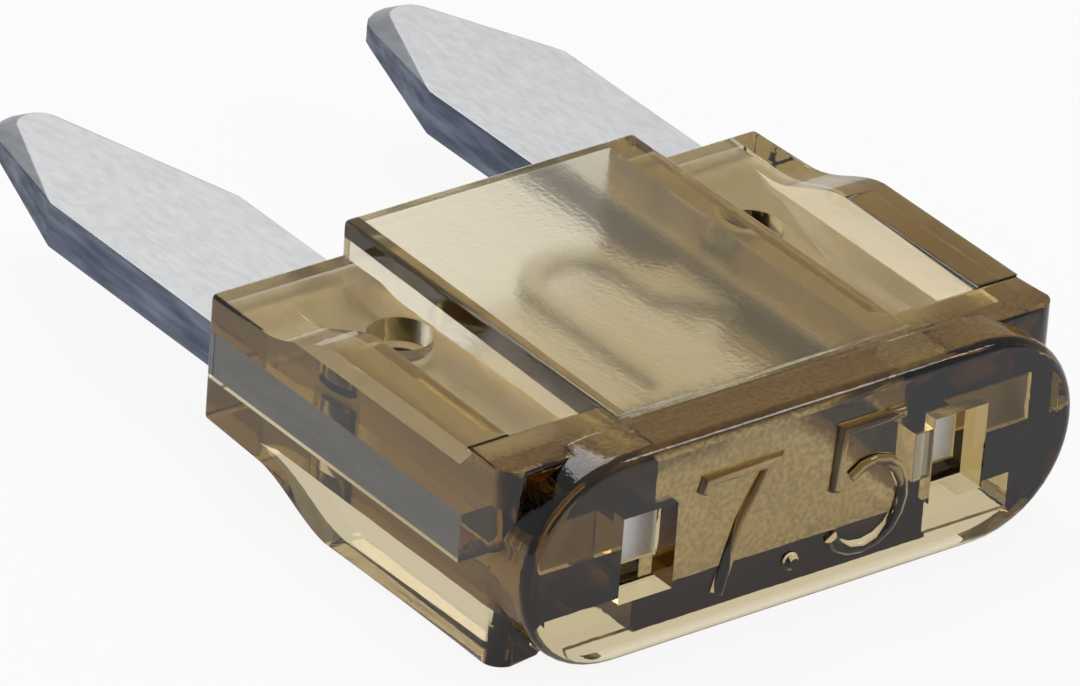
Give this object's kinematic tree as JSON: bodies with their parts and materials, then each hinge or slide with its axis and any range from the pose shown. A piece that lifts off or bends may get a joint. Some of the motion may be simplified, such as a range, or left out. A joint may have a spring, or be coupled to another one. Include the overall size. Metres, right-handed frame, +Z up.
{
  "type": "automotive blade fuse",
  "caption": "Small plug-in blade fuse: flat metal blades held in a clear brown plastic housing with a round-ended cap, raised panel, test windows and a thin fuse link inside.",
  "frame": {"origin": "below the middle of the part's box, on the plane that the part lies on", "axes": "+X across both blades, +Y along the blades from the head's end face towards the blade tips, +Z up, square to the raised panel"},
  "size_m": [0.011, 0.0164, 0.0037],
  "materials": {
    "clear_plastic": "clear brown, glossy",
    "plain_metal": "dull stamped zinc, darker on the sheared edges"
  },
  "bodies": {
    "root": {"housing": "clear_plastic", "fuse_strip": "plain_metal"}
  },
  "joints": []
}
